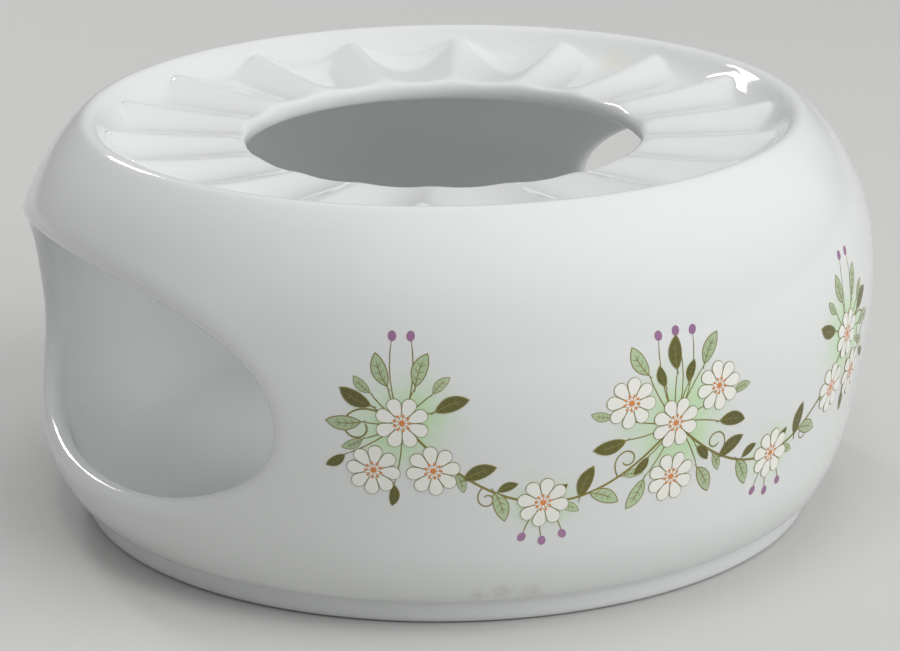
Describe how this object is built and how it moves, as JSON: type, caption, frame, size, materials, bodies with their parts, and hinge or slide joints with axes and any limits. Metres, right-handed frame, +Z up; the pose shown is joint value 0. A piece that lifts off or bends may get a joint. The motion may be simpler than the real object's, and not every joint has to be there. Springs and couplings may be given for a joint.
{
  "type": "teapot warmer",
  "caption": "Round one-piece porcelain teapot warmer with a fluted, pierced top, two wide side openings for a candle and a printed floral festoon.",
  "frame": {"origin": "centre of the foot ring, on the surface the warmer stands on", "axes": "+Z up through the hole in the top; the two side openings look along +X and -X; the printed side faces -Y"},
  "size_m": [0.1472, 0.1531, 0.0712],
  "materials": {
    "porcelain": "clear glossy glaze over white porcelain",
    "print_line": "fired olive line under a glossy glaze",
    "print_petal": "fired cream white, glossy",
    "print_heart": "fired orange, glossy",
    "print_dark_leaf": "fired dark olive, glossy",
    "print_pale_leaf": "fired pale green wash, glossy",
    "print_berry": "fired mauve, glossy"
  },
  "bodies": {
    "root": {"porcelain_body": "porcelain", "print_lines": "print_line", "print_petals": "print_petal", "print_hearts": "print_heart", "print_dark_leaves": "print_dark_leaf", "print_pale_leaves": "print_pale_leaf", "print_berries": "print_berry"}
  },
  "joints": []
}
